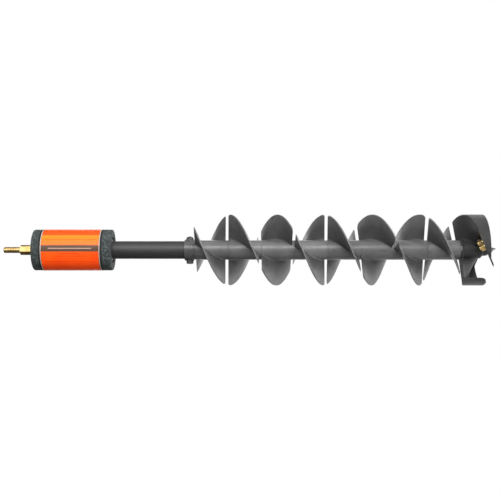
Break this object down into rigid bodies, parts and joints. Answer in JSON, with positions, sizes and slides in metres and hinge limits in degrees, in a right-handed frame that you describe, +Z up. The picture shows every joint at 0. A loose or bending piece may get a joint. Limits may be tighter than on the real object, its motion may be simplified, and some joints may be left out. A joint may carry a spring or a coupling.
{
  "type": "ice fishing auger",
  "caption": "Drill-driven ice auger: chuck shank, buoyant float, tube shaft, stacked double-start screw flights and a two-bladed cutting head with pilot point.",
  "frame": {"origin": "on the shaft axis, at the base of the round drill shank where it meets the hexagon", "axes": "+Z up along the shaft, out of the free end of the drill shank; the cutting end points down; +X is the side of the collar bolt's head"},
  "size_m": [0.1524, 0.1524, 1.0558],
  "materials": {
    "yellow_zinc_steel": "satin",
    "blade_steel": "satin",
    "painted_tube": "satin",
    "float_foam": "matte",
    "label_film": "gloss",
    "flight_plastic": "satin",
    "collar_plastic": "satin",
    "head_plastic": "satin",
    "black_fasteners": "satin",
    "pin_steel": "satin"
  },
  "bodies": {
    "auger": {"adapter_cross_pin": "pin_steel", "blade_bolts_1": "yellow_zinc_steel", "blade_bolts_2": "yellow_zinc_steel", "blade_nuts_1": "yellow_zinc_steel", "blade_nuts_2": "yellow_zinc_steel", "blade_washers_1": "yellow_zinc_steel", "blade_washers_2": "yellow_zinc_steel", "collar_bolt": "black_fasteners", "collar_nut": "black_fasteners", "collar_washers": "black_fasteners", "cutting_blade_1": "blade_steel", "cutting_blade_2": "blade_steel", "cutting_head": "head_plastic", "drill_shank_adapter": "yellow_zinc_steel", "drive_collar": "collar_plastic", "flight_module_1": "flight_plastic", "flight_module_2": "flight_plastic", "flight_module_3": "flight_plastic", "flight_module_4": "flight_plastic", "flight_module_5": "flight_plastic", "flight_module_6": "flight_plastic", "flight_module_7": "flight_plastic", "flight_module_8": "flight_plastic", "float_lower_washer": "black_fasteners", "float_retaining_ring": "black_fasteners", "float_top_washer": "black_fasteners", "head_cross_pin": "pin_steel", "pilot_pin": "pin_steel", "pilot_point": "blade_steel", "shaft_tube": "painted_tube"},
    "float": {"float_core": "float_foam", "label_sleeve": "label_film"}
  },
  "joints": [
    {"name": "float_spin", "type": "hinge", "parent": "auger", "child": "float", "pos_m": [0, 0, -0.1147], "axis": [0, 0, 1], "continuous": true}
  ]
}
